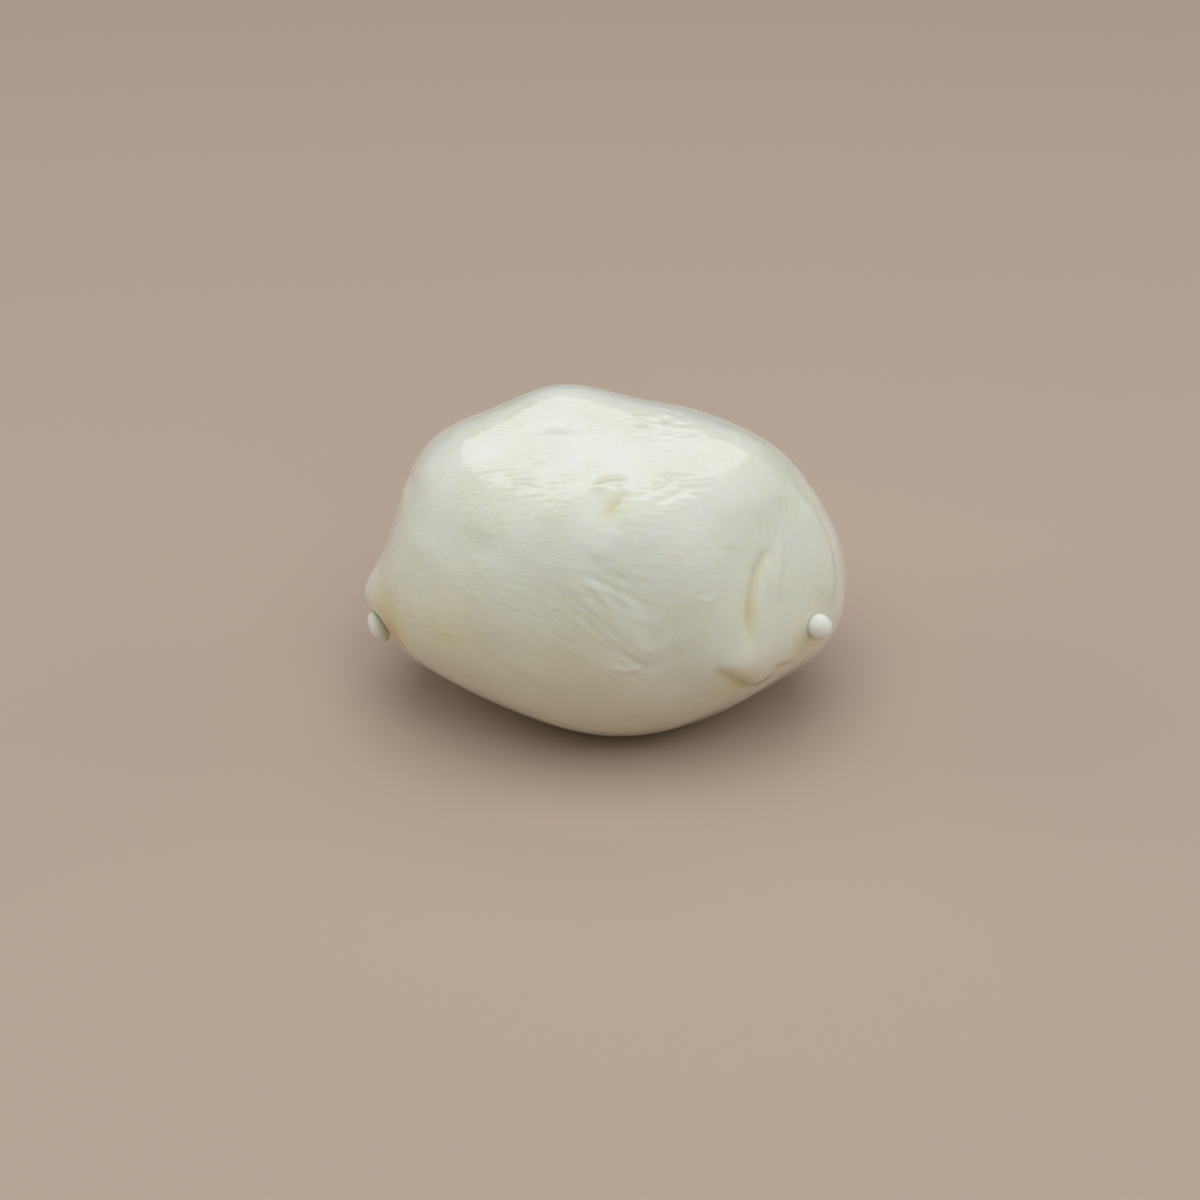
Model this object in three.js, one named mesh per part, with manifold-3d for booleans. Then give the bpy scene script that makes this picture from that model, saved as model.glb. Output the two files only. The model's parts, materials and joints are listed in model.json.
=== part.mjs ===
// A ball of fresh mozzarella, as it sits after it is lifted out of its whey.
//
// The cheese is stretched, folded in on itself and pinched off by hand, so the ball is longer than it is
// deep, its top is nearly flat, and both ends show where the skin was gathered. It is one solid:
//   body  a rounded block, pressed by a few soft flats and raised by a few soft lobes
//   nub   the pinched tail, tucked under a lip at the left end
//   bead  a drop of curd that stands on the right end
//
// Millimetres, +Z up, origin at the centre of the base. X is the long axis and -Y is the front.

import * as THREE from 'three';
import { mergeVertices } from 'three/addons/utils/BufferGeometryUtils.js';
import Module from 'manifold-3d';

const wasm = await Module();
wasm.setup();

// Driving dimensions of the body
const HALF_LENGTH = 36.5;
const HALF_DEPTH = 27.6;
const HEIGHT_ABOVE_MIDDLE = 27.6;
const DEPTH_BELOW_MIDDLE = 25.4;
const MIDDLE = new THREE.Vector3(-0.15, 0.28, 22.0);
const ROUNDNESS = 2.1;
const FLAT_SHARPNESS = 16;

// The surface mesh: rings from one end to the other, and points around each ring. The points crowd towards
// one direction, turned up from the front, where the creases are.
const RINGS = 64;
const POINTS_PER_RING = 60;
const CROWDING = 0.4;
const CROWDED_RISE = THREE.MathUtils.degToRad(20);

// A direction from the middle of the ball. Its bearing is in degrees to the right of straight forward,
// and its rise is in degrees above level.
function direction(bearing, rise) {
  const turn = THREE.MathUtils.degToRad(bearing);
  const lift = THREE.MathUtils.degToRad(rise);
  const level = Math.cos(lift);
  return new THREE.Vector3(Math.sin(turn) * level, -Math.cos(turn) * level, Math.sin(lift));
}

// Soft flats, each square to its direction and at its distance from the middle
const FLATS = [
  { name: 'top', toward: direction(-6, 78), distance: 22.6 },
  { name: 'left flank', toward: direction(-99, 14), distance: 32.7 },
  { name: 'left back', toward: direction(-136, 48), distance: 29.8 },
  { name: 'right back', toward: direction(157, 55), distance: 25.8 },
  { name: 'right shoulder', toward: direction(114, 32), distance: 33.5 },
  { name: 'front slope', toward: direction(0, 34), distance: 26.6 },
  { name: 'left front slope', toward: direction(-42, 30), distance: 31.2 },
  { name: 'right front slope', toward: direction(42, 30), distance: 29.7 },
  { name: 'underside left', toward: direction(-38, -50), distance: 26.8 },
  { name: 'underside right', toward: direction(55, -41), distance: 31.1 },
];

// Soft lobes, and dents where the height is negative. The width is in degrees, seen from the middle.
const LOBES = [
  { name: 'left end', toward: direction(-88, -10), width: 14, height: 1.0 },
  { name: 'lip over the nub', toward: direction(-84, -5), width: 5.5, height: 2.3 },
  { name: 'pocket behind the nub', toward: direction(-78, -12), width: 4, height: -1.7 },
  { name: 'left shoulder', toward: direction(-108, 30), width: 14, height: 1.3 },
  { name: 'left heel', toward: direction(-75, -40), width: 16, height: -0.7 },
  { name: 'highest back edge', toward: direction(-160, 55), width: 14, height: 1.5 },
  { name: 'right back step', toward: direction(140, 45), width: 12, height: 0.9 },
  { name: 'right end', toward: direction(90, 2), width: 25, height: 0.4 },
  { name: 'right heel', toward: direction(84, -22), width: 14, height: 1.9 },
  { name: 'seat of the bead', toward: direction(73, -11), width: 8, height: 0.7 },
  { name: 'front ridge', toward: direction(-10, 48), width: 22, height: 1.6 },
  { name: 'front belly', toward: direction(0, -20), width: 25, height: 0.7 },
  { name: 'dimple in the ridge', toward: direction(0, 51), width: 5, height: -0.8 },
  { name: 'folded lobe', toward: direction(40, -3), width: 6, height: 1.1 },
  { name: 'folded lobe foot', toward: direction(56, -6), width: 7, height: 0.6 },
  { name: 'pale swelling', toward: direction(27, 30), width: 10, height: 0.4 },
  { name: 'whey patch', toward: direction(115, 76), width: 3, height: 0.2 },
];

// Creases where the skin folds. Each bends from its first direction, past the second, to the third. The
// groove has a width and a depth, and beside it, on the side that the sign of lip picks, the skin swells.
const CREASES = [
  { name: 'crescent above dimple', path: [[-10, 59], [2, 65], [20, 62]], width: 2.0, depth: 0.6, lip: -0.4 },
  { name: 'left of the dimple', path: [[-68, 46], [-48, 53], [-28, 54]], width: 2.0, depth: 0.3, lip: -0.3 },
  { name: 'right of the dimple', path: [[18, 50], [33, 53], [52, 54]], width: 2.0, depth: 0.4, lip: -0.3 },
  { name: 'right valley', path: [[62, 24], [44, 19], [42, -2]], width: 2.2, depth: 0.7, lip: 0.5 },
  { name: 'under the folded lobe', path: [[33, -4], [39, -9], [48, -18]], width: 2.0, depth: 0.9, lip: 0.8 },
  { name: 'fold of the right end', path: [[82, 28], [84, 8], [70, -4]], width: 2.0, depth: 0.8, lip: -0.7 },
];
const LIP_REACH = 2.4;
const CREASE_STEPS = 12;

// The nub and the bead are drops: a sphere, stretched along its own axis and turned
const NUB = { centre: [-34.88, -6.1, 14.4], radii: [1.35, 2.1, 2.8], lean: [0, -0.42, 0] };
const BEAD = { centre: [32.25, -15.32, 20.6], radii: [2.0, 2.0, 2.0], lean: [0, 0, 0] };
const DROP_SIDES = 20;
const DROP_RINGS = 14;

// Milky white with a wet sheen
const skin = new THREE.MeshStandardMaterial({ color: 0xecebdd, roughness: 0.3, metalness: 0 });

// A value that goes from 0 to 1, without a corner, while x goes from low to high
function easeBetween(low, high, x) {
  const part = THREE.MathUtils.clamp((x - low) / (high - low), 0, 1);
  return part * part * (3 - 2 * part);
}

// The points of a crease on the unit sphere, from a quadratic curve through its three directions
function creasePoints(path) {
  const [start, past, end] = path.map(([bearing, rise]) => direction(bearing, rise));
  const curve = new THREE.QuadraticBezierCurve3(start, past, end);
  return curve.getPoints(CREASE_STEPS).map((point) => point.normalize());
}
for (const crease of CREASES) {
  crease.points = creasePoints(crease.path);
}

// How far toward lies from a crease, in millimetres at the given radius, with the side as its sign, and how
// far along the crease the nearest point is, from 0 to 1
function placeOnCrease(points, toward, radius) {
  let nearest = Infinity;
  let along = 0;
  let side = 1;
  const span = new THREE.Vector3();
  const offset = new THREE.Vector3();
  for (let i = 0; i + 1 < points.length; i += 1) {
    span.subVectors(points[i + 1], points[i]);
    offset.subVectors(toward, points[i]);
    const share = THREE.MathUtils.clamp(offset.dot(span) / span.lengthSq(), 0, 1);
    const sideways = Math.sign(span.clone().cross(offset).dot(toward)) || 1;
    const distance = offset.addScaledVector(span, -share).length();
    if (distance < nearest) {
      nearest = distance;
      along = (i + share) / (points.length - 1);
      side = sideways;
    }
  }
  return { distance: side * nearest * radius, along };
}

// What a crease adds to the radius: a groove, and a lip that rises beside it and fades again
function creaseHeight(crease, toward, radius) {
  const { distance, along } = placeOnCrease(crease.points, toward, radius);
  const fade = easeBetween(0, 0.25, along) * (1 - easeBetween(0.75, 1, along));
  const groove = -crease.depth * Math.exp(-((distance / crease.width) ** 2));
  const fromGroove = Math.max(distance * Math.sign(crease.lip), 0) / LIP_REACH;
  const lip = Math.abs(crease.lip) * fromGroove * Math.exp(1 - fromGroove);
  return fade * (groove + lip * Math.exp(-((distance / (3 * LIP_REACH)) ** 2)));
}

// The rounded block, pressed by the flats: a power sum takes the smallest of them with soft corners
function pressedRadius(toward) {
  const halfHeight = toward.z > 0 ? HEIGHT_ABOVE_MIDDLE : DEPTH_BELOW_MIDDLE;
  const block =
    Math.abs(toward.x / HALF_LENGTH) ** ROUNDNESS +
    Math.abs(toward.y / HALF_DEPTH) ** ROUNDNESS +
    Math.abs(toward.z / halfHeight) ** ROUNDNESS;
  let sum = block ** (FLAT_SHARPNESS / ROUNDNESS);
  for (const flat of FLATS) {
    sum += (Math.max(toward.dot(flat.toward), 0) / flat.distance) ** FLAT_SHARPNESS;
  }
  return sum ** (-1 / FLAT_SHARPNESS);
}

function lobeHeight(lobe, toward) {
  const width = THREE.MathUtils.degToRad(lobe.width);
  return lobe.height * Math.exp((toward.dot(lobe.toward) - 1) / width ** 2);
}

function bodyRadius(toward) {
  let radius = pressedRadius(toward);
  for (const lobe of LOBES) {
    radius += lobeHeight(lobe, toward);
  }
  const smooth = radius;
  for (const crease of CREASES) {
    radius += creaseHeight(crease, toward, smooth);
  }
  return radius;
}

// Turns a direction about the long axis, so that the directions crowd towards the crowded rise
function crowd(toward) {
  const rise = Math.atan2(toward.z, -toward.y);
  const turned = rise - CROWDING * Math.sin(rise - CROWDED_RISE);
  const reach = Math.hypot(toward.y, toward.z);
  toward.set(toward.x, -Math.cos(turned) * reach, Math.sin(turned) * reach);
}

// The body: a sphere whose poles are the two ends, with each point moved out to the ball's own radius
function bodyGeometry() {
  const geometry = new THREE.SphereGeometry(1, POINTS_PER_RING, RINGS);
  geometry.rotateZ(Math.PI / 2);
  const position = geometry.attributes.position;
  const toward = new THREE.Vector3();
  for (let i = 0; i < position.count; i += 1) {
    toward.fromBufferAttribute(position, i).normalize();
    crowd(toward);
    const radius = bodyRadius(toward);
    toward.multiplyScalar(radius).add(MIDDLE);
    position.setXYZ(i, toward.x, toward.y, toward.z);
  }
  return geometry;
}

function dropGeometry({ centre, radii, lean }) {
  const geometry = new THREE.SphereGeometry(1, DROP_SIDES, DROP_RINGS);
  geometry.scale(...radii);
  geometry.rotateX(lean[0]);
  geometry.rotateY(lean[1]);
  geometry.rotateZ(lean[2]);
  geometry.translate(...centre);
  return geometry;
}

// A closed mesh becomes a solid once its seam and pole points are merged by position
function toSolid(geometry) {
  geometry.deleteAttribute('normal');
  geometry.deleteAttribute('uv');
  const merged = mergeVertices(geometry, 1e-4);
  const mesh = new wasm.Mesh({
    numProp: 3,
    vertProperties: new Float32Array(merged.attributes.position.array),
    triVerts: new Uint32Array(merged.index.array),
  });
  return new wasm.Manifold(mesh);
}

function toGeometry(solid) {
  const mesh = solid.getMesh();
  const geometry = new THREE.BufferGeometry();
  geometry.setAttribute('position', new THREE.BufferAttribute(mesh.vertProperties, 3));
  geometry.setIndex(new THREE.BufferAttribute(mesh.triVerts, 1));
  geometry.computeVertexNormals();
  return geometry;
}

// Soft cheese settles on a flat foot, so everything below the resting plane is cut away
function belowGround() {
  const size = 4 * HALF_LENGTH;
  const geometry = new THREE.BoxGeometry(size, size, size);
  geometry.translate(0, 0, -size / 2);
  return toSolid(geometry);
}

const ball = toSolid(bodyGeometry())
  .add(toSolid(dropGeometry(NUB)))
  .add(toSolid(dropGeometry(BEAD)))
  .subtract(belowGround());

const mesh = new THREE.Mesh(toGeometry(ball), skin);
mesh.name = 'mozzarella_ball';

const group = new THREE.Group();
group.add(mesh);

export default group;
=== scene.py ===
# %% [markdown]
# # A ball of fresh mozzarella
#
# Mozzarella is curd that is stretched in hot water until it has a grain, like very soft chicken. The maker
# folds it in on itself and pinches it off, so a ball has a taut wet skin with fine fibres in it, a nearly
# flat top where it settled, and folds and tags at the two ends. This script makes that skin as one surface,
# adds the tag and the drop of curd that stand on it, and gives them a milky, wet finish.
#
# The CAD model is the frame: it says how big the ball is and where it stands. All lengths below are in
# millimetres until a mesh is written, because that is how such small relief is easiest to think about.

import itertools
import json
import math

import bpy
import numpy as np
from mathutils import Euler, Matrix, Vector

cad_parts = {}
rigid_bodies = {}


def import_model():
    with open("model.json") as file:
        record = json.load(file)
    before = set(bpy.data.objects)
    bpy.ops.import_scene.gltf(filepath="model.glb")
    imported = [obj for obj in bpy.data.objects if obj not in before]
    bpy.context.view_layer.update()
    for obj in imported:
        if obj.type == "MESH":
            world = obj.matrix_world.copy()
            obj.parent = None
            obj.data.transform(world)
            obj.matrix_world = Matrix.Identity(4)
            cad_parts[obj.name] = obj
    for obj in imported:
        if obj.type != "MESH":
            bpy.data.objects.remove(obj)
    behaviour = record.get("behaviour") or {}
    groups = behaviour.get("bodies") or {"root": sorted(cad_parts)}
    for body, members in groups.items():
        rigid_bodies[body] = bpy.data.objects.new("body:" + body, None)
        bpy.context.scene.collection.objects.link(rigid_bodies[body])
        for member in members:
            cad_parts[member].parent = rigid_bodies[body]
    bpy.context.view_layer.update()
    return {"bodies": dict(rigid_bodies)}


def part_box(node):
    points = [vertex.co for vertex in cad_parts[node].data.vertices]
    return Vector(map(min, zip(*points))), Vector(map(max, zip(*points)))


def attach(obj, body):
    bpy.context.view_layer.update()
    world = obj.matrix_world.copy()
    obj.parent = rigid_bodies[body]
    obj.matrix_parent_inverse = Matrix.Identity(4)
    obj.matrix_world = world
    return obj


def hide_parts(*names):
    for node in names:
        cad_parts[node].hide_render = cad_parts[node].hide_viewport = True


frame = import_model()
BODY = list(frame["bodies"])[0]
NODE = "mozzarella_ball"
MM = 0.001
low, high = (np.array(corner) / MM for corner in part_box(NODE))
print("frame: body", BODY, "node", NODE, "size in mm", (high - low).round(1))

# %% [markdown]
# ## Directions on the ball
#
# The skin is star-shaped: every direction from the middle of the ball meets it once. So a place on it can be
# named by a direction alone, as on a globe. The bearing runs to the right from straight forward, which is
# where the viewer stands, and the rise runs up from level.

# %% Directions
MIDDLE = np.array([-0.15, 0.28, 22.0])


def direction(bearing, rise):
    """The unit vector with that bearing and rise, both in degrees: (sin b cos r, -cos b cos r, sin r)."""
    turn, lift = math.radians(bearing), math.radians(rise)
    return np.array([math.sin(turn) * math.cos(lift), -math.cos(turn) * math.cos(lift), math.sin(lift)])


def unit(vectors):
    """Each vector divided by its own length."""
    return vectors / np.linalg.norm(vectors, axis=-1, keepdims=True)


def ease(low_end, high_end, x):
    """0 below low_end, 1 above high_end, and 3t² - 2t³ between, where t is the share of the way."""
    t = np.clip((x - low_end) / (high_end - low_end), 0, 1)
    return t * t * (3 - 2 * t)


print("middle of the ball in mm:", MIDDLE, "; straight forward is", direction(0, 0).round(2))

# %% [markdown]
# ## The block
#
# Seen from far off, the ball is a rounded block that soft hands and its own weight have pressed. A power sum
# makes that shape: each flat asks for a radius, the rounded block asks for one too, and the power sum takes
# nearly the smallest, with soft corners where two of them meet. Modelling it by sculpting would give the
# same picture but nothing to change later; here every flat has a name, a direction and a distance.

# %% The pressed block
HALF_LENGTH = 36.5
HALF_DEPTH = 27.6
HEIGHT_ABOVE_MIDDLE = 27.6
DEPTH_BELOW_MIDDLE = 25.4
ROUNDNESS = 2.1
FLAT_SHARPNESS = 16

FLATS = {
    "top": (direction(-6, 78), 22.6),
    "left flank": (direction(-99, 14), 32.7),
    "left back": (direction(-136, 48), 29.8),
    "right back": (direction(157, 55), 25.8),
    "right shoulder": (direction(114, 32), 33.5),
    "front slope": (direction(0, 34), 26.6),
    "left front slope": (direction(-42, 30), 31.2),
    "right front slope": (direction(42, 30), 29.7),
    "underside left": (direction(-38, -50), 26.8),
    "underside right": (direction(55, -41), 31.1),
}


def pressed_radius(toward):
    """(block^k + sum of (toward . flat / distance)^k)^(-1/k), with block = 1 / the rounded block's radius."""
    half_height = np.where(toward[..., 2] > 0, HEIGHT_ABOVE_MIDDLE, DEPTH_BELOW_MIDDLE)
    block = np.abs(toward[..., 0] / HALF_LENGTH) ** ROUNDNESS
    block = block + np.abs(toward[..., 1] / HALF_DEPTH) ** ROUNDNESS
    block = block + np.abs(toward[..., 2] / half_height) ** ROUNDNESS
    total = block ** (FLAT_SHARPNESS / ROUNDNESS)
    for facing, distance in FLATS.values():
        total = total + (np.maximum(toward @ facing, 0) / distance) ** FLAT_SHARPNESS
    return total ** (-1 / FLAT_SHARPNESS)


print("block:", len(FLATS), "flats, radius straight forward", pressed_radius(direction(0, 0)).round(1))

# %% [markdown]
# ## Lobes and dents
#
# The stretched curd swells where it was folded under and sinks where it was pinched. Each lobe is a soft
# bell over one direction, and a dent is a lobe of negative height. Their widths are in degrees as seen from
# the middle, where 5 degrees are about 3 mm of skin.

# %% Lobes and dents
LOBES = {
    "left end": (-88, -10, 14, 1.0),
    "lip over the tag": (-84, -5, 5.5, 2.1),
    "pocket behind the tag": (-78, -12, 4, -1.7),
    "left shoulder": (-108, 30, 14, 1.3),
    "left heel": (-75, -40, 16, -0.7),
    "highest back edge": (-160, 55, 14, 1.5),
    "right back step": (140, 45, 12, 0.9),
    "right end": (90, 2, 25, 0.4),
    "right heel": (84, -22, 14, 1.9),
    "seat of the drop": (73, -11, 8, 0.7),
    "front ridge": (-10, 48, 22, 1.6),
    "front belly": (0, -20, 25, 0.7),
    "dimple in the ridge": (0, 51, 5, -0.8),
    "folded lobe": (40, -3, 6, 1.1),
    "folded lobe foot": (56, -6, 7, 0.6),
    "pale swelling": (27, 30, 10, 0.4),
    "whey patch": (115, 76, 3, 0.2),
}


def lobe_height(toward, bearing, rise, width, height):
    """height * exp((cos(angle to the lobe) - 1) / width²), a bell that never reaches round the ball."""
    return height * np.exp((toward @ direction(bearing, rise) - 1) / math.radians(width) ** 2)


def smooth_radius(toward):
    """The pressed block with all its lobes and dents, and no creases yet."""
    radius = pressed_radius(toward)
    for lobe in LOBES.values():
        radius = radius + lobe_height(toward, *lobe)
    return radius


print(len(LOBES), "lobes and dents; radius straight forward", smooth_radius(direction(0, 0)).round(1))

# %% [markdown]
# ## Creases
#
# Where the skin folds over itself it leaves a crease: a narrow groove, with the skin swelling up beside it
# on the side that folded over. A crease runs along a smooth curve through three directions. For every
# direction on the ball we need its distance from that curve and the side that it is on; the curve is cut
# into short straight pieces and the nearest one decides.

# %% Measuring from a curve on the ball
CURVE_STEPS = 20


def curve_points(path):
    """Points of the quadratic curve (1-t)² a + 2t(1-t) b + t² c through a path's three directions."""
    start, past, end = (direction(*place) for place in path)
    t = np.linspace(0, 1, CURVE_STEPS + 1)[:, None]
    return unit((1 - t) ** 2 * start + 2 * t * (1 - t) * past + t**2 * end)


def place_on_curve(toward, points):
    """(signed distance from the curve, share of the way along it) of each direction, on the unit sphere.

    For each straight piece, the share s = clamp(offset . span / span²) finds the nearest point, and the sign
    of (span x offset) . toward tells the side."""
    nearest = np.full(len(toward), np.inf)
    signed = np.zeros(len(toward))
    along = np.zeros(len(toward))
    for number, (start, end) in enumerate(zip(points[:-1], points[1:])):
        span = end - start
        offset = toward - start
        share = np.clip(offset @ span / (span @ span), 0, 1)
        distance = np.linalg.norm(offset - share[:, None] * span, axis=1)
        side = np.where((np.cross(span, offset) * toward).sum(1) < 0, -1, 1)
        closer = distance < nearest
        nearest = np.where(closer, distance, nearest)
        signed = np.where(closer, distance * side, signed)
        along = np.where(closer, (number + share) / CURVE_STEPS, along)
    return signed, along


print("a curve is cut into", CURVE_STEPS, "straight pieces")

# %% [markdown]
# ## The creases
#
# The list gives each crease its path, its width and depth, and its lip: how high the skin swells, with a
# minus sign where it swells on the right of the path, and how far that swelling reaches. A negative depth
# turns the groove into a raised line, as a run of whey or a thread of curd leaves, and the skin paints each
# raised line white: a painted glint. The path is in degrees, the rest in millimetres.

# %% The creases
CREASES = {
    "crescent over the dimple": ([(-10, 59), (2, 65), (20, 62)], 0.6, 0.18, -0.22, 1.2),
    "edge of the dimple": ([(13, 58), (9, 53), (-2, 45)], 1.1, 0.22, -0.25, 1.5),
    "left of the dimple": ([(-68, 46), (-48, 53), (-28, 54)], 0.8, 0.10, -0.15, 1.5),
    "right of the dimple": ([(24, 53), (34, 57), (50, 55)], 0.6, 0.12, -0.15, 1.2),
    "second right of the dimple": ([(18, 47), (33, 50), (50, 50)], 0.7, 0.10, -0.15, 1.3),
    "light ridge": ([(5, 44), (2, 38), (-4, 33)], 1.2, -0.18, 0.02, 1.0),
    "right valley": ([(61, 23), (46, 18), (42, 0)], 0.9, 0.46, 0.30, 1.9),
    "valley streak": ([(65, 24), (61, 18), (53, 9)], 0.5, -0.30, -0.10, 1.2),
    "under the folded lobe": ([(32, -3), (39, -10), (49, -19)], 1.2, 0.40, 0.75, 2.6),
    "small fold on the foot": ([(50, -8), (54, -11), (58, -11)], 0.9, 0.22, 0.22, 1.5),
    "drip mark": ([(1.5, 0.5), (6.5, -3.5), (12, 0)], 0.4, -0.30, 0.01, 1.0),
    "squiggle": ([(29, 19), (33, 15), (36, 18)], 0.4, -0.20, 0.01, 1.0),
    "comma": ([(41, 28.5), (45, 29), (49, 27)], 0.6, 0.07, 0.06, 1.0),
    "fold of the right end": ([(84, 34), (84, 8), (70, -4)], 1.3, 0.26, -0.55, 2.8),
    "heel streak": ([(-31, 0.5), (-22, -3.7), (-12, -10.5)], 1.5, -0.10, 0.02, 1.0),
}


def crease_height(signed, along, width, depth, lip, reach):
    """(height, depth of the groove alone) at each place beside a crease.

    height = -depth exp(-(d/width)²) + lip u exp(1-u), where u is the distance on the lip's side / its reach.
    Both fade out over the first and last quarter of the crease, and the lip also fades away from it."""
    fade = ease(0, 0.25, along) * (1 - ease(0.75, 1, along))
    groove = np.exp(-((signed / width) ** 2))
    u = np.maximum(signed * np.sign(lip), 0) / reach
    swell = abs(lip) * u * np.exp(1 - u) * np.exp(-((signed / (3 * reach)) ** 2))
    return fade * (swell - depth * groove), fade * groove * depth


def creased_radius(toward):
    """(radius with the creases, how deep in a groove each place is, which is negative on a raised line)."""
    radius = smooth_radius(toward)
    added = np.zeros(len(toward))
    hollow = np.zeros(len(toward))
    for path, *shape in CREASES.values():
        signed, along = place_on_curve(toward, curve_points(path))
        height, groove = crease_height(signed * radius, along, *shape)
        added += height
        hollow += groove
    return radius + added, hollow


print(len(CREASES), "creases, the deepest", max(crease[2] for crease in CREASES.values()), "mm")

# %% [markdown]
# ## The grain of the skin
#
# Stretching lines the curd up in fibres. They run along the ball, sloping down to the right over the front,
# and turn up again past a seam near the middle; at the right end they are gathered into rings. Random heights
# on a lattice become fibres when the lattice is stretched along them: for that, each place gets grain
# coordinates in which the fibres are straight. On the flat top the fibres lie nearly level.

# %% Grain coordinates
SEAM_X = 7.0
SEAM_WIDTH = 1.5
SEAM_DIP = 7.0
SEAM_REACH = 12.0
FIBRE_SLOPE = 0.42
LEVEL_ON_TOP = 0.85
TOP_STARTS, TOP_ENDS = 9, 21
RINGS_START, RINGS_END = 15, 27


def fibre_line(x):
    """How far a fibre has sunk at x, in mm: it slopes down to the seam, steeper near it, and rises beyond it.

    sunk = -slope a - dip (1 - exp(-a / reach)), with a = sqrt((x - seam)² + width²)."""
    a = np.sqrt((x - SEAM_X) ** 2 + SEAM_WIDTH**2)
    return -FIBRE_SLOPE * a - SEAM_DIP * (1 - np.exp(-a / SEAM_REACH))


def grain_coordinates(place):
    """(x, y, z + sunk(x)) in mm, measured from the middle, with hardly any slope on the flat top."""
    x, y, z = np.moveaxis(place, -1, 0)
    slanting = 1 - LEVEL_ON_TOP * ease(TOP_STARTS, TOP_ENDS, z)
    return np.stack([x, y, z + slanting * fibre_line(x)], -1)


def ringed_share(place):
    """0 where the fibres run along the ball, 1 at the right end, where they run round it."""
    return ease(RINGS_START, RINGS_END, place[..., 0] + 0.15 * place[..., 2])


sinking = fibre_line(SEAM_X) - fibre_line(-HALF_LENGTH)
print("a fibre sinks", sinking.round(1), "mm from the left end to the seam")

# %% [markdown]
# ## Random heights
#
# Natural relief is random but smooth. The simplest way to get it is value noise: a block of random numbers
# stands on a lattice, and each place blends the eight numbers at the corners of its cell. The block repeats
# itself, but so far apart that nobody sees it, and a fixed seed gives the same ball each time.

# %% Random heights
LATTICE_SIZE = 64
LATTICE = np.random.default_rng(7).uniform(-1, 1, (LATTICE_SIZE, LATTICE_SIZE, LATTICE_SIZE))


def random_heights(place, cell_size, shift):
    """Random numbers from -1 to 1 at the corners of cells of that size, blended by 3t² - 2t³ in between."""
    at = place / np.array(cell_size) + shift * np.array([37.3, 91.7, 58.1])
    cell = np.floor(at).astype(int)
    share = ease(0, 1, at - cell)
    height = 0
    for corner in itertools.product((0, 1), repeat=3):
        weight = np.where(corner, share, 1 - share).prod(-1)
        height = height + weight * LATTICE[tuple(np.moveaxis((cell + corner) % LATTICE_SIZE, -1, 0))]
    return height


print("lattice of", LATTICE.size, "random numbers from", LATTICE.min().round(2), "to", LATTICE.max().round(2))

# %% [markdown]
# ## Fine relief
#
# Four kinds of relief lie on the shape: slow swells; short fibres, which come and go in patches; a gathered
# patch on the lower front, where the fibres from the two sides meet and crumple; and fine wrinkles beside
# the dimple and along the edge of the flat top. The fibres nearly vanish on the flat top, where a film of
# whey fills them and leaves one clear sheen.
#
# Each cell below is the size of a patch of noise along the fibres and across them, in millimetres, and each
# lump and wrinkle place is a bearing, a rise and a width. The fibres also wander a little from their line.

# %% Sizes of the relief
SWELL_HEIGHT = 0.25
FIBRE_HEIGHT = 0.05
LUMP_HEIGHT = 0.32
WRINKLE_HEIGHT = 0.13
WANDER = 0.9
WANDER_CELL = (7, 5, 5)
SWELL_CELL = (11, 7, 7)
PATCH_CELL = (9, 5, 5)
FIBRE_CELL = (3.6, 0.9, 0.9)
FINE_FIBRE_CELL = (2, 0.5, 0.5)
RING_CELL = (0.8, 3.5, 3.5)
FINE_RING_CELL = (0.45, 2, 2)
LUMP_CELL = (4.5, 2.2, 2.2)
FINE_LUMP_CELL = (2.4, 1.1, 1.1)
WRINKLE_CELL = (1.9, 0.55, 0.55)
WET_FROM, WET_ABOVE = 14, 21
LUMPS = ((9, 10, 8), (0, 20, 7), (12, 4, 5))
WRINKLES = ((24, 50, 9), (44, 53, 8), (-52, 50, 10), (-30, 53, 8), (100, 68, 10))
print("relief: swells", SWELL_HEIGHT, "fibres", FIBRE_HEIGHT, "lumps", LUMP_HEIGHT, "mm")

# %% [markdown]
# ## Adding the relief up
#
# Each kind of relief is a height times its noise, and where it shows is one more factor from 0 to 1, so they
# can simply be added. All of it fades out at the foot, where the ball is pressed, and at the two ends, where
# the grid comes to a point and fine noise would turn into spikes.

# %% Relief of the skin

def near_any(toward, places):
    """How near each direction is to the nearest of some (bearing, rise, width) places, from 0 to 1."""
    return np.max([lobe_height(toward, *place, 1) for place in places], axis=0)


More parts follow.
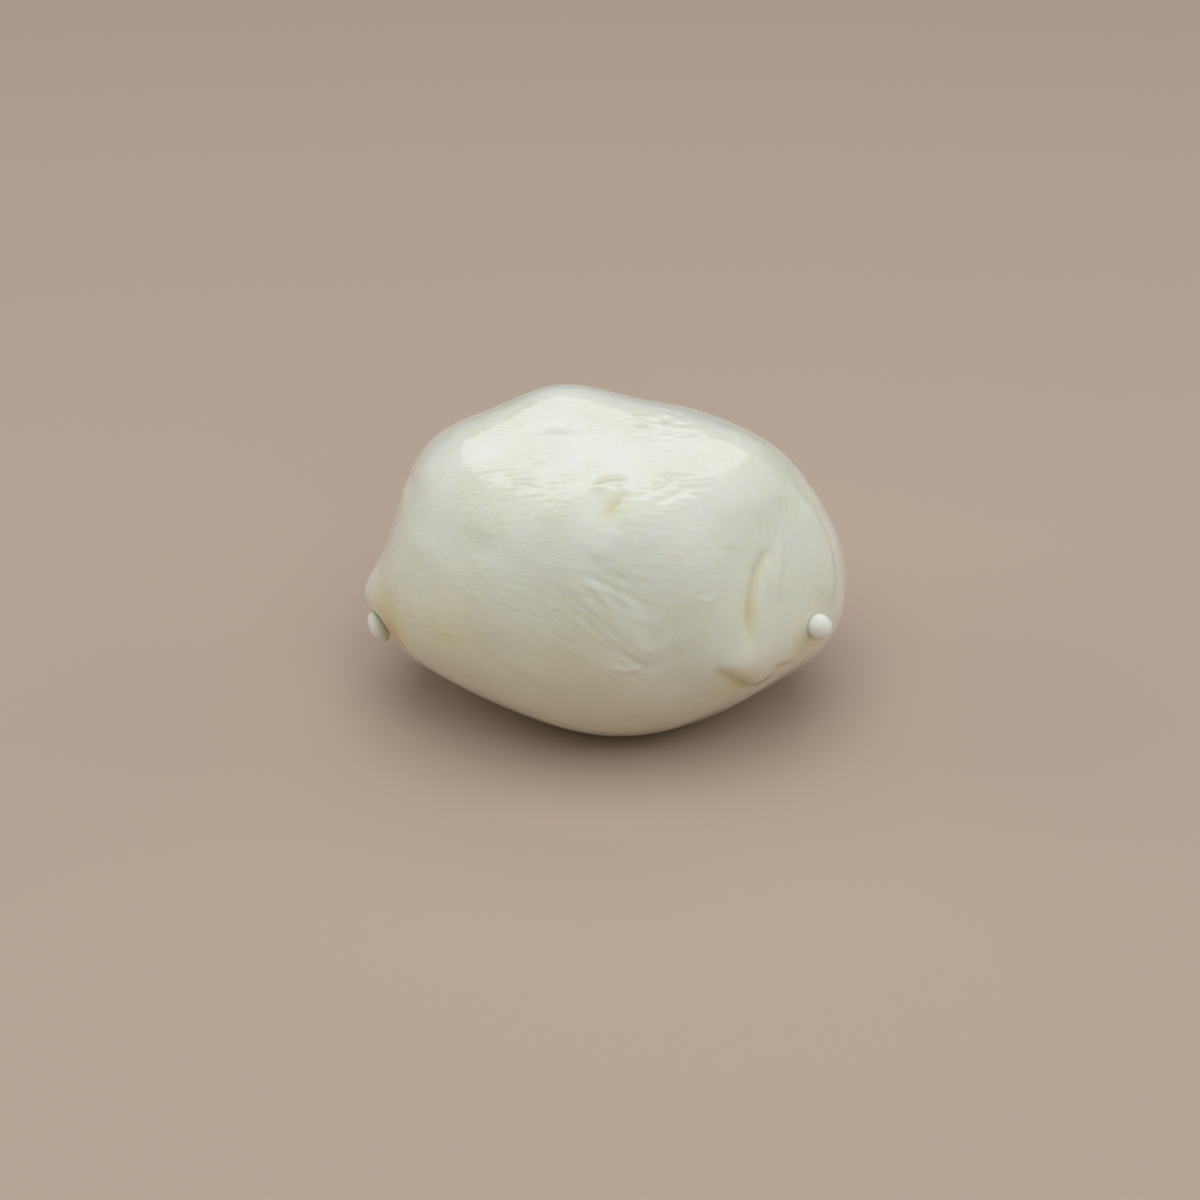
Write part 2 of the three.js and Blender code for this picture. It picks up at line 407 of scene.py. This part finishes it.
def skin_relief(toward, place):
    """Height of the fine relief in mm, with the fibres along the ball blended into the rings at its end."""
    grain = grain_coordinates(place)
    grain = grain + WANDER * random_heights(grain, WANDER_CELL, 1)[..., None] * np.array([0, 1, 1])
    swells = random_heights(grain, SWELL_CELL, 2)
    patches = ease(-0.4, 0.5, random_heights(grain, PATCH_CELL, 3))
    long_fibres = random_heights(grain, FIBRE_CELL, 4) + 0.5 * random_heights(grain, FINE_FIBRE_CELL, 5)
    rings = random_heights(place, RING_CELL, 6) + 0.5 * random_heights(place, FINE_RING_CELL, 7)
    ringed = ringed_share(place)
    fibres = (1 - ringed) * long_fibres + 0.8 * ringed * rings
    lumps = random_heights(grain, LUMP_CELL, 8) + 0.5 * random_heights(grain, FINE_LUMP_CELL, 9)
    wrinkles = random_heights(place, WRINKLE_CELL, 10)
    wet_top = 1 - 0.8 * ease(WET_FROM, WET_ABOVE, place[..., 2])
    relief = SWELL_HEIGHT * swells + FIBRE_HEIGHT * wet_top * (0.3 + 0.7 * patches) * fibres
    relief = relief + LUMP_HEIGHT * near_any(toward, LUMPS) * lumps
    relief = relief + WRINKLE_HEIGHT * near_any(toward, WRINKLES) * wrinkles
    above_foot = ease(-0.95, -0.55, toward[..., 2])
    off_poles = ease(0.02, 0.25, np.hypot(toward[..., 1], toward[..., 2]))
    return above_foot * off_poles * relief


forward = direction(0, 0)[None]
print("relief straight forward:", skin_relief(forward, smooth_radius(forward) * forward).round(2), "mm")

# %% [markdown]
# ## The grid
#
# The skin is laid out as rings from the left end to the right end, like a wound-up reel, so that the two
# places where a grid has to pinch are at the ends of the ball, where the real skin is gathered too. The
# points of a ring crowd towards the front, where the fine relief is seen.

# %% The grid of directions
RINGS = 250
POINTS = 380
CROWDING = 0.42
CROWDED_RISE = math.radians(24)


def grid_directions(rings, points):
    """Unit vectors, one row per ring from -X to +X; turn = a - crowding * sin(a - crowded rise) about X."""
    lengthwise = np.linspace(0, math.pi, rings + 1)[:, None]
    around = np.linspace(-math.pi / 2, 1.5 * math.pi, points, endpoint=False)[None, :]
    turn = around - CROWDING * np.sin(around - CROWDED_RISE)
    reach = np.sin(lengthwise)
    x = -np.cos(lengthwise) * np.ones_like(turn)
    return np.stack([x, -reach * np.cos(turn), reach * np.sin(turn)], -1)


print("grid:", RINGS + 1, "rings of", POINTS, "points")

# %% [markdown]
# ## From grid to mesh
#
# A grid whose last column joins its first and whose first and last rings are single points is a closed skin.
# The helper numbers the points ring by ring between the two poles, and can store extra values at each
# point, which the material reads later.

# %% Writing a closed grid as a mesh


def closed_grid_faces(rings, points):
    """Triangles at the two poles and quads between them, as lists of point numbers, facing outwards."""
    column = np.arange(points)
    following = (column + 1) % points
    first = 1 + points * np.arange(rings - 2)[:, None]
    second = first + points
    quads = np.stack([first + column, second + column, second + following, first + following], -1)
    left_pole = np.stack([0 * column, 1 + column, 1 + following], -1)
    last = 1 + points * (rings - 2)
    tip = last + points
    right_pole = np.stack([0 * column + tip, last + following, last + column], -1)
    return left_pole.tolist() + quads.reshape(-1, 4).tolist() + right_pole.tolist()


def single_points(values):
    """A grid's values as one list in which each pole, a whole row of the grid, is counted once."""
    inner = values[1:-1].reshape((-1,) + values.shape[2:])
    return np.concatenate([values[:1, 0], inner, values[-1:, 0]])


def closed_grid_mesh(name, places, **fields):
    """A mesh object from a grid of places in mm, with each field stored on its points."""
    mesh = bpy.data.meshes.new(name)
    faces = closed_grid_faces(places.shape[0] - 1, places.shape[1])
    mesh.from_pydata((single_points(places) * MM).tolist(), [], faces)
    mesh.polygons.foreach_set("use_smooth", np.ones(len(mesh.polygons), bool))
    for field, values in fields.items():
        listed = single_points(values).astype(np.float32)
        kind = ("FLOAT", "value") if listed.ndim == 1 else ("FLOAT_VECTOR", "vector")
        mesh.attributes.new(field, kind[0], "POINT").data.foreach_set(kind[1], listed.ravel())
    piece = bpy.data.objects.new(name, mesh)
    bpy.context.scene.collection.objects.link(piece)
    return piece


print("a closed grid of", RINGS, "rings has", len(closed_grid_faces(RINGS, POINTS)), "faces")

# %% [markdown]
# ## Painted shade, milky places and painted glints
#
# The hollows, the creases, the pocket beside the tag and the places under the drop and the folded lobe are
# painted yellow, even amber where the spots add up to more than 1: this is painted shade. The foot, the lower
# front and the left belt are painted darker and warmer: painted shade and painted warm light from below. Some
# swellings are milky white, and the raised lines and a few streaks are painted white as well: partly pale
# curd, partly painted glints on the wet film. Both could be painted on an image, but here they are soft round
# spots, each with a bearing, a rise, a width and a strength.

# %% Painted shade, milky places and painted glints
# Spots of painted shade: yellow in the hollows and creases, amber where they add up past 1.
SHADE_SPOTS = {
    "dimple": (6, 51, 2.5, 0.4),
    "tip of the dimple": (1, 47, 2, 0.2),
    "crescent": (5, 62, 3, 0.25),
    "crease above the wrinkles": (34, 56, 3, 0.15),
    "head of the valley": (46, 10, 2.5, 0.35),
    "valley": (42, 3, 2.5, 0.25),
    "round the drop": (64, -4, 6, 0.25),
    "under the drop": (62, -7, 3.5, 0.5),
    "pocket": (-76, -15, 4.5, 1.6),
    "beside the tag": (-70, -2, 5.5, 0.8),
    "fold beside the tag": (-68, -8, 3, 1.8),
    "under the folded lobe": (42, -13, 4.5, 0.5),
    "folds on the foot": (55, -11, 3, 0.2),
    # The last three spots paint the underside darker and warmer: painted shade and painted warm light from
    # below.
    "lower front": (-12, -4, 16, 0.3),
    "left belt": (-48, 2, 11, 0.4),
    "painted shade at the foot": (0, -90, 40, 1.2),
}
# White spots: partly pale curd, partly painted highlights on the wet lumps and streaks.
MILKY_AND_GLINT = {
    "pale swelling": (30, 29, 7, 0.8),
    "gathered lumps": (11, 12, 6, 0.6),
    "lower lump": (2, 1, 4, 0.4),
    "heel": (-22, -12, 12, 0.4),
    "folded lobe": (38, -2, 5, 0.5),
    "valley streak": (58, 15, 5, 0.5),
}
# White per mm of height on a raised line: a painted glint along it.
MILKY_AND_GLINT_PER_MM = 4


def painted(toward, spots):
    """The sum of soft round spots."""
    return sum(lobe_height(toward, *spot) for spot in spots.values())


# The stains counted here are spots of painted shade, and the milky places are partly painted glints.
print(len(SHADE_SPOTS), "stains and", len(MILKY_AND_GLINT), "milky places")

# %% [markdown]
# ## The skin
#
# Now the skin itself: the creased shape plus the fine relief, with everything that would sink below the
# resting plane flattened onto it. Its painted shade, its milky places with their painted glints and its grain
# are stored on its points, so that the material can follow them.

# %% The skin piece

def skin_surface(rings, points):
    """(places, stained, milky, grain, ringed) on the grid. A place is the middle plus direction times radius.

    stained = groove depth + shade spots, from 0 to 2: painted shade in the hollows and at the foot;
    milky = milky spots + a share of a raised line: milky curd and painted glints."""
    toward = grid_directions(rings, points)
    radius, hollow = creased_radius(toward.reshape(-1, 3))
    radius = radius.reshape(toward.shape[:2])
    hollow = hollow.reshape(toward.shape[:2])
    smooth = toward * radius[..., None]
    places = MIDDLE + toward * (radius + skin_relief(toward, smooth))[..., None]
    places[..., 2] = np.maximum(places[..., 2], 0)
    # Painted shade: the grooves and the shade spots turn the colour yellow, and amber beyond 1.
    stained = np.clip(np.maximum(hollow, 0) + painted(toward, SHADE_SPOTS), 0, 2)
    # Milky white plus painted glints: every raised line turns white by its height.
    milky = np.clip(painted(toward, MILKY_AND_GLINT) - MILKY_AND_GLINT_PER_MM * np.minimum(hollow, 0), 0, 1)
    return places, stained, milky, grain_coordinates(smooth), ringed_share(smooth)


places, stained, milky, grain, ringed = skin_surface(RINGS, POINTS)
skin = closed_grid_mesh("skin", places, stained=stained, milky=milky, grain=grain, ringed=ringed)
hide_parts(NODE)
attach(skin, BODY)
print("skin:", len(skin.data.polygons), "faces")
print("skin box in mm:", places.min((0, 1)).round(2), places.max((0, 1)).round(2))

# %% [markdown]
# ## The tag and the drop
#
# When the maker pinches a ball off, a short tag of curd is left and tucks itself under the skin's lip, here
# at the left end. At the right end a drop of curd stuck to the skin while it was still hot, and stands on it
# like a pearl. Both are uneven spheres, and the tag's is also stretched.

# %% The tag and the drop
DROP_RINGS = 48
DROP_POINTS = 64


def drop_surface(centre, radii, lean, uneven):
    """centre + turn(direction * radii * wave), with wave = 1 + uneven sin(2.3 z + 1.1) cos(1.7 x + 0.4).

    It is an uneven egg, and its lean turns it about X, then Y, then Z, in radians."""
    toward = grid_directions(DROP_RINGS, DROP_POINTS)
    wave = 1 + uneven * np.sin(2.3 * toward[..., 2] + 1.1) * np.cos(1.7 * toward[..., 0] + 0.4)
    turned = np.array(Euler(lean, "XYZ").to_matrix())
    return np.array(centre) + (toward * wave[..., None] * np.array(radii)) @ turned.T


DROPS = {
    "tag": ([-34.88, -6.1, 14.4], [1.35, 2.1, 2.8], [0, -0.42, 0], 0.10),
    "drop": ([32.25, -15.32, 20.6], [2.0, 2.0, 2.0], [0, 0, 0], 0.03),
}

drops = {}
for name, shape in DROPS.items():
    drops[name] = closed_grid_mesh(name, drop_surface(*shape))
    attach(drops[name], BODY)
    print(name + ":", len(drops[name].data.polygons), "faces")

# %% [markdown]
# ## The finish
#
# Wet curd is milky: light goes in, scatters and comes out a few millimetres away, so shadows are soft and
# thin edges glow. That is subsurface scattering. Over it lies a film of whey, which is a thin clear coat
# with sharp gloss. The colour is a pale cream with whiter streaks that follow the fibres. This could be
# painted by hand, but a few noise nodes do it at any size. The class below gives short names to the node
# set-ups that come back.

# %% Material helpers
CREAM = (0.78, 0.815, 0.69, 1)
WHITE = (0.865, 0.895, 0.825, 1)
# The two colours of painted shade: yellow, and amber where the shade is deepest.
SHADE_YELLOW = (0.79, 0.75, 0.47, 1)
AMBER = (0.74, 0.52, 0.27, 1)


class Nodes:
    """Short names for the few node set-ups that the curd uses."""

    def __init__(self, material):
        material.use_nodes = True
        self.nodes = material.node_tree.nodes
        self.links = material.node_tree.links
        self.shader = self.nodes["Principled BSDF"]

    def stored(self, name, output):
        """A value or vector that was stored on the points of the mesh."""
        node = self.nodes.new("ShaderNodeAttribute")
        node.attribute_name = name
        return node.outputs[output]

    def noise(self, vector, cells, detail):
        """Noise whose cells measure 1 / cells along each axis of the vector."""
        stretch = self.nodes.new("ShaderNodeMapping")
        stretch.inputs["Scale"].default_value = cells
        self.links.new(vector, stretch.inputs["Vector"])
        node = self.nodes.new("ShaderNodeTexNoise")
        node.inputs["Scale"].default_value = 1.0
        node.inputs["Detail"].default_value = detail
        self.links.new(stretch.outputs["Vector"], node.inputs["Vector"])
        return node.outputs["Fac"]

    def spread(self, value, low, high, top=1.0):
        """The value stretched so that low becomes 0 and high becomes top."""
        node = self.nodes.new("ShaderNodeMapRange")
        node.inputs["From Min"].default_value = low
        node.inputs["From Max"].default_value = high
        node.inputs["To Max"].default_value = top
        self.links.new(value, node.inputs["Value"])
        return node.outputs["Result"]

    def mix(self, share, first, second, kind):
        """first where the share is 0 and second where it is 1, as numbers (FLOAT) or colours (RGBA)."""
        node = self.nodes.new("ShaderNodeMix")
        node.data_type = kind
        sockets = [s for s in node.inputs if s.enabled and s.name in ("Factor", "A", "B")]
        for socket, given in zip(sockets, (share, first, second)):
            if isinstance(given, bpy.types.NodeSocket):
                self.links.new(given, socket)
            else:
                socket.default_value = given
        return next(s for s in node.outputs if s.enabled)


# The colour printed as stain is the yellow of the painted shade.
print("colours of the curd: cream", CREAM[:3], "white", WHITE[:3], "stain", SHADE_YELLOW[:3], "amber", AMBER[:3])

# %% [markdown]
# ## The curd itself
#
# The skin and the drops share one recipe: scattering by about a millimetre, red light going furthest, under
# a nearly smooth coat. Only the colour differs, so a function makes the recipe and gives back what is needed
# to finish it.

# %% The curd recipe


def curd_material(name):
    """(nodes, place, colour): a milk-white, translucent, wet curd that still needs its base colour, its
    Object coordinates in metres, and a colour that drifts from cream to white in clouds about a centimetre
    wide."""
    material = bpy.data.materials.new(name)
    nodes = Nodes(material)
    shader = nodes.shader
    shader.inputs["Roughness"].default_value = 0.4
    shader.inputs["Specular IOR Level"].default_value = 0.4
    shader.inputs["Subsurface Weight"].default_value = 1.0
    shader.inputs["Subsurface Radius"].default_value = (1.0, 0.85, 0.6)
    shader.inputs["Subsurface Scale"].default_value = 1.1 * MM
    shader.inputs["Coat Weight"].default_value = 1.0
    shader.inputs["Coat Roughness"].default_value = 0.06
    place = nodes.nodes.new("ShaderNodeTexCoord").outputs["Object"]
    cloud = nodes.spread(nodes.noise(place, (110, 110, 110), 3), 0.35, 0.65)
    return nodes, place, nodes.mix(cloud, CREAM, WHITE, "RGBA")


def bump(nodes, height, distance):
    """Normals tilted as if the surface rose by that height, times the distance in metres."""
    node = nodes.nodes.new("ShaderNodeBump")
    node.inputs["Strength"].default_value = 1.0
    node.inputs["Distance"].default_value = distance
    nodes.links.new(height, node.inputs["Height"])
    return node.outputs["Normal"]


print("curd: light scatters over about 1 mm, under a clear coat")

# %% [markdown]
# ## The colour of the skin
#
# From the cream and white clouds of the recipe, the colour goes on to white along the fibres, to white again
# where the skin is milky or carries a painted glint, and to the two colours of painted shade in the hollows
# and at the foot, yellow and then amber. The finest fibres are only a bump of a few hundredths of a
# millimetre, and fainter still in the coat, because the film of whey levels them out.

# %% The colour of the skin
nodes, place, colour = curd_material("curd")
grain_place = nodes.stored("grain", "Vector")
ringed_value = nodes.stored("ringed", "Fac")
along_fibres = nodes.noise(grain_place, (0.5, 2.0, 2.0), 2)
round_fibres = nodes.noise(place, (1600, 350, 350), 3)
fibres = nodes.mix(ringed_value, along_fibres, round_fibres, "FLOAT")
streaks = nodes.spread(fibres, 0.40, 0.65, 0.75)
colour = nodes.mix(streaks, colour, WHITE, "RGBA")
# Milky places and painted glints on the raised lines turn the colour white.
colour = nodes.mix(nodes.spread(nodes.stored("milky", "Fac"), 0, 1, 0.7), colour, WHITE, "RGBA")
# Painted shade: yellow in the hollows and creases.
colour = nodes.mix(nodes.spread(nodes.stored("stained", "Fac"), 0, 1), colour, SHADE_YELLOW, "RGBA")
# Deeper painted shade: amber in the pocket beside the tag and wherever the shade adds up past 1.
colour = nodes.mix(nodes.spread(nodes.stored("stained", "Fac"), 1, 2), colour, AMBER, "RGBA")
nodes.links.new(colour, nodes.shader.inputs["Base Color"])
fine_along = nodes.noise(grain_place, (0.45, 1.7, 1.7), 1)
fine_round = nodes.noise(place, (1300, 280, 280), 1)
fine_fibres = nodes.mix(ringed_value, fine_along, fine_round, "FLOAT")
nodes.links.new(bump(nodes, fine_fibres, 0.05 * MM), nodes.shader.inputs["Normal"])
nodes.links.new(bump(nodes, fine_fibres, 0.01 * MM), nodes.shader.inputs["Coat Normal"])
skin.data.materials.append(bpy.data.materials["curd"])
print("skin: a material with", len(nodes.nodes), "nodes")

# %% [markdown]
# ## The colour of the tag and the drop
#
# They hold no painted shade and have no grain, so the recipe alone is enough, drawn closer to white.

# %% The colour of the tag and the drop
nodes, _, colour = curd_material("drop curd")
nodes.links.new(nodes.mix(0.8, colour, WHITE, "RGBA"), nodes.shader.inputs["Base Color"])
for piece in drops.values():
    piece.data.materials.append(bpy.data.materials["drop curd"])
print("materials:", [material.name for material in bpy.data.materials])

# %% [markdown]
# ## The floor
#
# The ball stands on a plain pale floor that reaches past the picture on every side, so that no edge of it
# shows. It is stage, not part of the ball.

# %% The floor
FLOOR_SIZE = 3.0
floor_mesh = bpy.data.meshes.new("floor")
half = FLOOR_SIZE / 2
corners = [(-half, -half, 0), (half, -half, 0), (half, half, 0), (-half, half, 0)]
floor_mesh.from_pydata(corners, [], [(0, 1, 2, 3)])
floor = bpy.data.objects.new("floor", floor_mesh)
bpy.context.scene.collection.objects.link(floor)
floor_paint = bpy.data.materials.new("floor paint")
floor_paint.use_nodes = True
floor_shader = floor_paint.node_tree.nodes["Principled BSDF"]
floor_shader.inputs["Base Color"].default_value = (0.53, 0.42, 0.34, 1)
floor_shader.inputs["Roughness"].default_value = 0.8
floor_mesh.materials.append(floor_paint)
print("floor:", FLOOR_SIZE, "m across")

# %% [markdown]
# ## The light
#
# One large soft light behind and above the ball, where a window would be, draws the broad sheen on its flat
# top. The other lights are the bright ceiling and walls of the room. They fill in the front, and they are
# kept out of reflections, because the wet skin would show each of them as a hard white patch.

# %% The light
world = bpy.data.worlds.new("studio")
bpy.context.scene.world = world
world.use_nodes = True
world.node_tree.nodes["Background"].inputs["Color"].default_value = (1.0, 1.0, 1.0, 1)
world.node_tree.nodes["Background"].inputs["Strength"].default_value = 0.05


def soft_light(name, place, width, depth, watts, shines):
    """A rectangle of light that faces the ball. Where shines is False it fills in without a reflection."""
    data = bpy.data.lights.new(name, "AREA")
    data.shape = "RECTANGLE"
    data.size, data.size_y, data.energy = width, depth, watts
    light = bpy.data.objects.new(name, data)
    bpy.context.scene.collection.objects.link(light)
    light.location = place
    light.rotation_euler = (Vector((0, 0, 0.025)) - light.location).to_track_quat("-Z", "Y").to_euler()
    light.visible_glossy = shines


soft_light("window", (0.03, 0.46, 0.60), 0.62, 0.24, 0.65, True)
soft_light("ceiling", (0, -0.15, 0.78), 0.9, 0.9, 5.0, False)
soft_light("right wall", (0.65, 0.1, 0.3), 0.5, 0.5, 1.0, False)
soft_light("left wall", (-0.65, 0.1, 0.3), 0.5, 0.5, 1.2, False)
soft_light("front wall", (0.3, -0.6, 0.45), 0.6, 0.5, 0.7, False)

bpy.context.scene.view_settings.view_transform = "Standard"
print("lights:", [light.name for light in bpy.data.lights])

# %% [markdown]
# ## The camera
#
# A long lens from above: it looks down by a little over a third of a right angle, at a point just below the
# middle of the ball.

# %% The camera
VIEW_DOWN = math.radians(33.1)
VIEW_DISTANCE = 438.6
LOOKED_AT = np.array([-0.75, -2.92, 17.3])
LENS = 85

camera_data = bpy.data.cameras.new("camera")
camera_data.lens = LENS
camera_data.sensor_width = 36
camera_data.clip_start = 0.01
camera = bpy.data.objects.new("camera", camera_data)
bpy.context.scene.collection.objects.link(camera)
gaze = np.array([0, math.cos(VIEW_DOWN), -math.sin(VIEW_DOWN)])
camera.location = Vector((LOOKED_AT - VIEW_DISTANCE * gaze) * MM)
camera.rotation_euler = (math.pi / 2 - VIEW_DOWN, 0, 0)
bpy.context.scene.camera = camera
print("camera at", [round(value, 3) for value in camera.location], "m")

# %% [markdown]
# ## Sizes, and the end
#
# The size of the CAD model is printed at the start and the box of the skin where the skin is made. They
# differ by a few tenths of a millimetre, because the CAD model has no fine relief and a slightly higher lip
# at its left end.

# %% Sizes, and the end
print("scene built: skin, tag, drop, floor, lights and camera")
